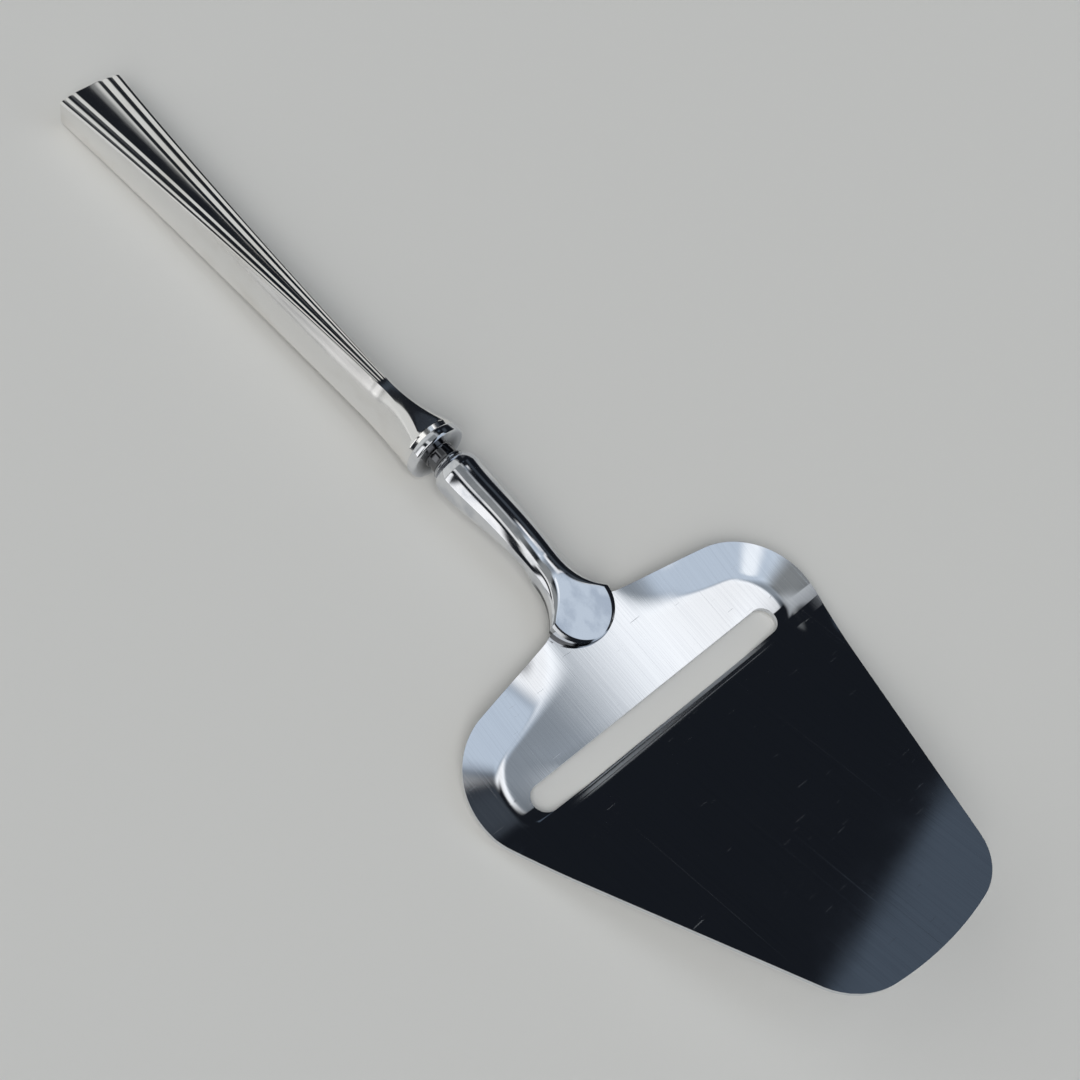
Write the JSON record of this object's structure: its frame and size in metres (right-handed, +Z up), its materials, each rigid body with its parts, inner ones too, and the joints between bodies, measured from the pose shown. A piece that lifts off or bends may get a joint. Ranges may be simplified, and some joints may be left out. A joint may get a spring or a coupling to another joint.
{
  "type": "cheese slicer",
  "caption": "Hand-held cheese slicer with a fluted hollow silver handle, a forged steel shank and a flared sheet-steel blade with a slot and a ground cutting lip.",
  "frame": {"origin": "middle of the bounding box, on the table that the slicer lies on", "axes": "+X from the handle towards the tip of the blade, +Z up from the table, +Y across the blade"},
  "size_m": [0.221, 0.0776, 0.0168],
  "materials": {
    "silver": "polished silver plate",
    "cement": "rough cement",
    "polished_steel": "mirror polished",
    "blade_steel": "fine brushed, worn bright"
  },
  "bodies": {
    "root": {"handle_upper_shell": "silver", "handle_lower_shell": "silver", "handle_filler": "cement", "shank": "polished_steel", "blade": "blade_steel"}
  },
  "joints": []
}
